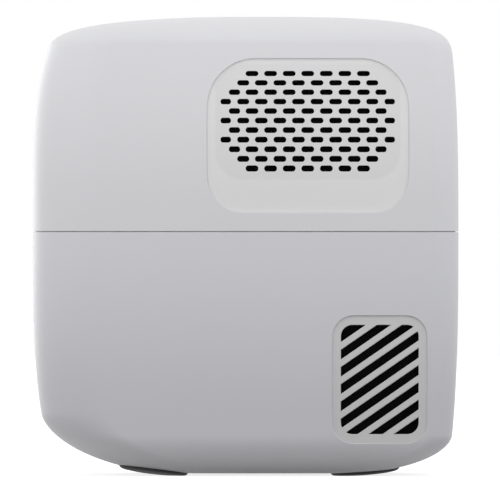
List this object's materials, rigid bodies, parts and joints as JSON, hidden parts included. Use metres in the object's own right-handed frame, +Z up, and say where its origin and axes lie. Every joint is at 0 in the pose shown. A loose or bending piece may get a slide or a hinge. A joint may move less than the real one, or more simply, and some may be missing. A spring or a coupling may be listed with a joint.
{
  "type": "projector with disc drive",
  "caption": "Pillow-shaped desktop projector with a disc tray in its front, speaker and vent grilles in its sides, a front lens and keys on top.",
  "frame": {"origin": "middle of the footprint, level with the underside of the foot pads", "axes": "+Z up, -Y towards the lens and the disc tray, +X towards the side in the picture"},
  "size_m": [0.24, 0.2, 0.217],
  "materials": {
    "upper_shell": "fine satin texture",
    "lower_shell": "fine satin texture",
    "grille": "fine satin texture",
    "dark_trim": "satin",
    "window": "polished",
    "panel": "satin",
    "key": "satin",
    "rubber": "matt",
    "inner_frame": "moulded",
    "drive_black": "moulded",
    "gear": "moulded, natural",
    "steel": "ground",
    "aluminium": "extruded",
    "brass": "turned",
    "copper": "plated board",
    "glass": "coated",
    "circuit_board": "solder mask",
    "socket_metal": "plated",
    "cloth": "open weave"
  },
  "bodies": {
    "housing": {"top_shell": "upper_shell", "bottom_shell": "lower_shell", "rear_panel": "dark_trim", "speaker_grille_right": "grille", "speaker_grille_left": "grille", "vent_grille_right": "grille", "vent_grille_left": "grille", "lens_bezel": "dark_trim", "control_panel": "panel", "receiver_window": "window", "rubber_feet": "rubber", "base_frame": "inner_frame", "middle_deck": "inner_frame", "housing_screws": "steel", "tripod_insert": "brass", "engine_housing": "drive_black", "lens_sleeve": "drive_black", "lcd_panel": "window", "fresnel_lenses": "glass", "condenser_lens": "glass", "led_module": "copper", "heat_sink": "aluminium", "fan_frame": "drive_black", "loader_chassis": "inner_frame", "drive_belt": "rubber", "loading_motor": "steel", "clamp_bridge": "inner_frame", "speaker_frame_right": "drive_black", "speaker_frame_left": "drive_black", "speaker_cone_right": "drive_black", "speaker_cone_left": "drive_black", "main_board": "circuit_board", "power_board": "circuit_board", "key_board": "circuit_board", "signal_sockets": "socket_metal", "mains_inlet": "drive_black", "grille_linings": "cloth"},
    "disc_tray": {"disc_tray": "drive_black", "tray_front": "grille"},
    "loading_gear": {"loading_gear": "gear"},
    "loading_pulley": {"loading_pulley": "gear"},
    "motor_pulley": {"motor_pulley": "brass"},
    "traverse": {"traverse_frame": "inner_frame", "guide_rods": "steel", "spindle_motor": "steel"},
    "pickup_sled": {"pickup_sled": "drive_black"},
    "feed_gear": {"feed_gear": "gear"},
    "turntable": {"turntable": "drive_black"},
    "clamp_puck": {"clamp_puck": "gear"},
    "focus_ring": {"focus_ring": "dark_trim"},
    "lens_barrel": {"lens_barrel": "drive_black", "lens_elements": "glass"},
    "fan_rotor": {"fan_rotor": "drive_black"},
    "power_key": {"power_key": "key"},
    "arrow_up_key": {"arrow_up_key": "key"},
    "arrow_down_key": {"arrow_down_key": "key"},
    "arrow_left_key": {"arrow_left_key": "key"},
    "arrow_right_key": {"arrow_right_key": "key"},
    "ok_key": {"ok_key": "key"},
    "eject_key": {"eject_key": "key"}
  },
  "joints": [
    {"name": "tray_slide", "type": "slide", "parent": "housing", "child": "disc_tray", "axis": [0, -1, 0], "range_m": [0, 0.13]},
    {"name": "loading_gear_turn", "type": "hinge", "parent": "housing", "child": "loading_gear", "pos_m": [0.04, -0.072, 0.141], "axis": [0, 0, 1], "range_deg": [-760, 10]},
    {"name": "loading_pulley_turn", "type": "hinge", "parent": "housing", "child": "loading_pulley", "pos_m": [0.0176, -0.072, 0.141], "axis": [0, 0, 1], "range_deg": [-10, 2740]},
    {"name": "motor_pulley_turn", "type": "hinge", "parent": "housing", "child": "motor_pulley", "pos_m": [-0.0164, -0.072, 0.1468], "axis": [0, 0, 1], "range_deg": [-10, 10480]},
    {"name": "traverse_lift", "type": "hinge", "parent": "housing", "child": "traverse", "pos_m": [0, 0.066, 0.143], "axis": [-1, 0, 0], "range_deg": [0, 5.5]},
    {"name": "sled_travel", "type": "slide", "parent": "traverse", "child": "pickup_sled", "axis": [0, 0.9954, 0.0958], "range_m": [0, 0.035]},
    {"name": "feed_gear_turn", "type": "hinge", "parent": "traverse", "child": "feed_gear", "pos_m": [0.0352, 0.00101, 0.13976], "axis": [0, -0.0958, 0.9954], "range_deg": [-285, 5]},
    {"name": "turntable_spin", "type": "hinge", "parent": "traverse", "child": "turntable", "pos_m": [0, -0.03245, 0.13252], "axis": [0, -0.0958, 0.9954], "continuous": true},
    {"name": "clamp_puck_spin", "type": "hinge", "parent": "housing", "child": "clamp_puck", "pos_m": [0, -0.033, 0.164], "axis": [0, 0, 1], "continuous": true},
    {"name": "focus_turn", "type": "hinge", "parent": "housing", "child": "focus_ring", "pos_m": [0, -0.09, 0.068], "axis": [0, -1, 0], "range_deg": [-45, 45]},
    {"name": "lens_slide", "type": "slide", "parent": "housing", "child": "lens_barrel", "axis": [0, -1, 0], "range_m": [-0.004, 0.004]},
    {"name": "fan_spin", "type": "hinge", "parent": "housing", "child": "fan_rotor", "pos_m": [0.1, 0.063, 0.0456], "axis": [1, 0, 0], "continuous": true},
    {"name": "power_press", "type": "slide", "parent": "housing", "child": "power_key", "axis": [0, 0, -1], "range_m": [0, 0.0008], "stiffness_N_per_m": 400, "springref_m": -0.002},
    {"name": "arrow_up_press", "type": "slide", "parent": "housing", "child": "arrow_up_key", "axis": [0, 0, -1], "range_m": [0, 0.0008], "stiffness_N_per_m": 400, "springref_m": -0.002},
    {"name": "arrow_down_press", "type": "slide", "parent": "housing", "child": "arrow_down_key", "axis": [0, 0, -1], "range_m": [0, 0.0008], "stiffness_N_per_m": 400, "springref_m": -0.002},
    {"name": "arrow_left_press", "type": "slide", "parent": "housing", "child": "arrow_left_key", "axis": [0, 0, -1], "range_m": [0, 0.0008], "stiffness_N_per_m": 400, "springref_m": -0.002},
    {"name": "arrow_right_press", "type": "slide", "parent": "housing", "child": "arrow_right_key", "axis": [0, 0, -1], "range_m": [0, 0.0008], "stiffness_N_per_m": 400, "springref_m": -0.002},
    {"name": "ok_press", "type": "slide", "parent": "housing", "child": "ok_key", "axis": [0, 0, -1], "range_m": [0, 0.0008], "stiffness_N_per_m": 400, "springref_m": -0.002},
    {"name": "eject_press", "type": "slide", "parent": "housing", "child": "eject_key", "axis": [0, 1, 0], "range_m": [0, 0.0008], "stiffness_N_per_m": 400, "springref_m": -0.002}
  ],
  "couplings": [
    {"joint": "loading_gear_turn", "follows": "tray_slide", "rad_per_m": -100},
    {"joint": "loading_pulley_turn", "follows": "tray_slide", "rad_per_m": 366.67},
    {"joint": "motor_pulley_turn", "follows": "tray_slide", "rad_per_m": 1405.6},
    {"joint": "feed_gear_turn", "follows": "sled_travel", "rad_per_m": -138.89},
    {"joint": "lens_slide", "follows": "focus_turn", "m_per_rad": 0.005093}
  ]
}
